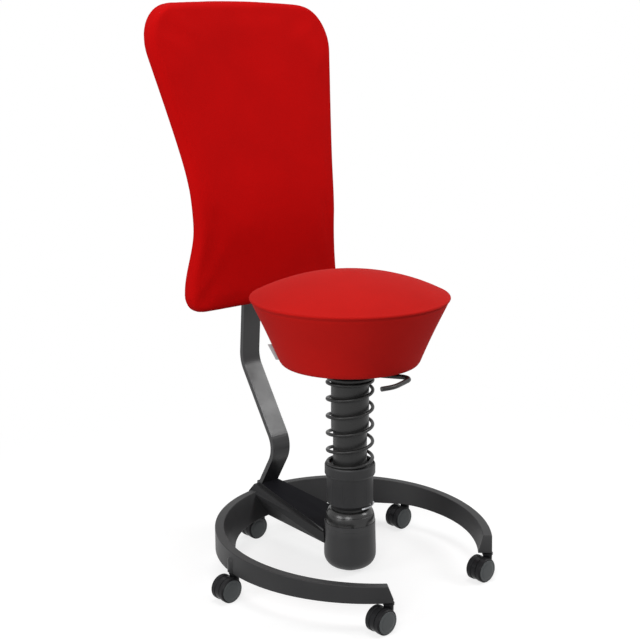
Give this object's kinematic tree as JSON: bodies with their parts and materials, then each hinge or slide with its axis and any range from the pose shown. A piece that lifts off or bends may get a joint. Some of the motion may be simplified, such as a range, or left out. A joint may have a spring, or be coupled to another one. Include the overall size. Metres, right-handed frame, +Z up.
{
  "type": "balance stool with backrest",
  "caption": "Sprung balance stool with a round upholstered seat on a tilting coil-spring strut, an open foot ring on twin-wheel castors and an upholstered backrest on a bent bar.",
  "frame": {"origin": "on the floor, on the strut's axis, with the strut upright", "axes": "+Z up along the strut, -Y the way the sitter faces, +Y towards the backrest, +X to the sitter's left"},
  "size_m": [0.5876, 0.6493, 1.151],
  "materials": {
    "anthracite_metal": "fine textured anthracite powder coat",
    "anthracite_casting": "cast, with the same anthracite powder coat",
    "black_metal": "satin black powder coat",
    "black_steel": "satin black",
    "bright_steel": "bright zinc",
    "black_plastic": "fine grained",
    "black_rubber": "smooth, slightly glossy",
    "red_fabric": "felted wool, matt",
    "grey_fabric": "woven tape, bare",
    "castor_plastic": "smooth black",
    "castor_tread": "soft grey tread, satin"
  },
  "bodies": {
    "base": {"foot_ring": "anthracite_metal", "ring_arm": "anthracite_casting", "castor_stems": "bright_steel", "backrest_bar": "black_metal", "backrest_bracket": "black_plastic", "bracket_screws": "bright_steel", "backrest_shell": "black_plastic", "backrest_cushion": "red_fabric", "joint_housing": "anthracite_casting", "housing_collar": "anthracite_casting", "bottom_cap": "black_plastic", "housing_pins": "bright_steel"},
    "gimbal": {"gimbal_ring": "bright_steel", "gimbal_pins": "bright_steel"},
    "strut": {"joint_stem": "black_steel", "joint_rubber": "black_rubber", "gaiter": "black_rubber", "lower_tube": "black_steel", "coil_spring": "black_steel"},
    "adjuster": {"adjuster_cup": "black_plastic", "adjuster_pin": "bright_steel"},
    "flip_lever": {"adjuster_lever": "bright_steel"},
    "sleeve": {"upper_sleeve": "black_steel", "spring_plate": "black_steel", "gas_cylinder": "black_steel", "gas_bush": "black_plastic", "gas_rod": "bright_steel"},
    "column": {"gas_column": "bright_steel"},
    "valve": {"valve_pin": "bright_steel"},
    "seat": {"seat_mount": "black_plastic", "seat_screws": "bright_steel", "lever_pivot": "bright_steel", "seat_shell": "black_plastic", "seat_cushion": "red_fabric", "seat_tag": "grey_fabric"},
    "height_lever": {"height_lever": "black_steel"},
    "castor_1": {"castor_1_hood": "castor_plastic", "castor_1_axle": "bright_steel"},
    "castor_1_wheel_l": {"castor_1_wheel_l": "castor_tread"},
    "castor_1_wheel_r": {"castor_1_wheel_r": "castor_tread"},
    "castor_2": {"castor_2_hood": "castor_plastic", "castor_2_axle": "bright_steel"},
    "castor_2_wheel_l": {"castor_2_wheel_l": "castor_tread"},
    "castor_2_wheel_r": {"castor_2_wheel_r": "castor_tread"},
    "castor_3": {"castor_3_hood": "castor_plastic", "castor_3_axle": "bright_steel"},
    "castor_3_wheel_l": {"castor_3_wheel_l": "castor_tread"},
    "castor_3_wheel_r": {"castor_3_wheel_r": "castor_tread"},
    "castor_4": {"castor_4_hood": "castor_plastic", "castor_4_axle": "bright_steel"},
    "castor_4_wheel_l": {"castor_4_wheel_l": "castor_tread"},
    "castor_4_wheel_r": {"castor_4_wheel_r": "castor_tread"},
    "castor_5": {"castor_5_hood": "castor_plastic", "castor_5_axle": "bright_steel"},
    "castor_5_wheel_l": {"castor_5_wheel_l": "castor_tread"},
    "castor_5_wheel_r": {"castor_5_wheel_r": "castor_tread"}
  },
  "joints": [
    {"name": "tilt_fore_aft", "type": "hinge", "parent": "base", "child": "gimbal", "pos_m": [0, 0, 0.076], "axis": [1, 0, 0], "range_deg": [-4, 7], "stiffness_Nm_per_rad": 500, "deforming": ["gaiter", "joint_rubber"]},
    {"name": "tilt_side", "type": "hinge", "parent": "gimbal", "child": "strut", "pos_m": [0, 0, 0.076], "axis": [0, 1, 0], "range_deg": [-7, 7], "stiffness_Nm_per_rad": 500, "deforming": ["gaiter", "joint_rubber"]},
    {"name": "adjust_turn", "type": "hinge", "parent": "strut", "child": "adjuster", "pos_m": [0, 0, 0.18], "axis": [0, 0, 1], "range_deg": [0, 720]},
    {"name": "flip_out", "type": "hinge", "parent": "adjuster", "child": "flip_lever", "pos_m": [0.03069, -0.03069, 0.147], "axis": [0, 0, 1], "range_deg": [0, 95]},
    {"name": "bounce", "type": "slide", "parent": "strut", "child": "sleeve", "axis": [0, 0, 1], "range_m": [-0.05, 0], "stiffness_N_per_m": 25000, "springref_m": 0.006, "deforming": ["coil_spring"]},
    {"name": "height", "type": "slide", "parent": "sleeve", "child": "column", "axis": [0, 0, 1], "range_m": [-0.09, 0.045]},
    {"name": "valve_press", "type": "slide", "parent": "column", "child": "valve", "axis": [0, 0, 1], "range_m": [-0.0018, 0]},
    {"name": "seat_swivel", "type": "hinge", "parent": "column", "child": "seat", "pos_m": [0, 0, 0.54], "axis": [0, 0, 1], "continuous": true},
    {"name": "lever_press", "type": "hinge", "parent": "seat", "child": "height_lever", "pos_m": [0.00282, 0.02685, 0.5581], "axis": [0.9945, -0.1045, 0], "range_deg": [0, 3.7], "stiffness_Nm_per_rad": 8, "springref_deg": -5.73},
    {"name": "castor_1_swivel", "type": "hinge", "parent": "base", "child": "castor_1", "pos_m": [-0.26458, 0.04856, 0.05], "axis": [0, 0, 1], "continuous": true},
    {"name": "castor_1_spin_l", "type": "hinge", "parent": "castor_1", "child": "castor_1_wheel_l", "pos_m": [-0.28458, 0.04856, 0.025], "axis": [0, 1, 0], "continuous": true},
    {"name": "castor_1_spin_r", "type": "hinge", "parent": "castor_1", "child": "castor_1_wheel_r", "pos_m": [-0.28458, 0.04856, 0.025], "axis": [0, 1, 0], "continuous": true},
    {"name": "castor_2_swivel", "type": "hinge", "parent": "base", "child": "castor_2", "pos_m": [-0.13734, -0.25615, 0.05], "axis": [0, 0, 1], "continuous": true},
    {"name": "castor_2_spin_l", "type": "hinge", "parent": "castor_2", "child": "castor_2_wheel_l", "pos_m": [-0.15734, -0.25615, 0.025], "axis": [0, 1, 0], "continuous": true},
    {"name": "castor_2_spin_r", "type": "hinge", "parent": "castor_2", "child": "castor_2_wheel_r", "pos_m": [-0.15734, -0.25615, 0.025], "axis": [0, 1, 0], "continuous": true},
    {"name": "castor_3_swivel", "type": "hinge", "parent": "base", "child": "castor_3", "pos_m": [0.1745, -0.22496, 0.05], "axis": [0, 0, 1], "continuous": true},
    {"name": "castor_3_spin_l", "type": "hinge", "parent": "castor_3", "child": "castor_3_wheel_l", "pos_m": [0.1545, -0.22496, 0.025], "axis": [0, 1, 0], "continuous": true},
    {"name": "castor_3_spin_r", "type": "hinge", "parent": "castor_3", "child": "castor_3_wheel_r", "pos_m": [0.1545, -0.22496, 0.025], "axis": [0, 1, 0], "continuous": true},
    {"name": "castor_4_swivel", "type": "hinge", "parent": "base", "child": "castor_4", "pos_m": [0.25278, 0.092, 0.05], "axis": [0, 0, 1], "continuous": true},
    {"name": "castor_4_spin_l", "type": "hinge", "parent": "castor_4", "child": "castor_4_wheel_l", "pos_m": [0.23278, 0.092, 0.025], "axis": [0, 1, 0], "continuous": true},
    {"name": "castor_4_spin_r", "type": "hinge", "parent": "castor_4", "child": "castor_4_wheel_r", "pos_m": [0.23278, 0.092, 0.025], "axis": [0, 1, 0], "continuous": true},
    {"name": "castor_5_swivel", "type": "hinge", "parent": "base", "child": "castor_5", "pos_m": [-0.02251, 0.26806, 0.05], "axis": [0, 0, 1], "continuous": true},
    {"name": "castor_5_spin_l", "type": "hinge", "parent": "castor_5", "child": "castor_5_wheel_l", "pos_m": [-0.04251, 0.26806, 0.025], "axis": [0, 1, 0], "continuous": true},
    {"name": "castor_5_spin_r", "type": "hinge", "parent": "castor_5", "child": "castor_5_wheel_r", "pos_m": [-0.04251, 0.26806, 0.025], "axis": [0, 1, 0], "continuous": true}
  ],
  "couplings": [
    {"joint": "valve_press", "follows": "lever_press", "m_per_rad": -0.027}
  ]
}
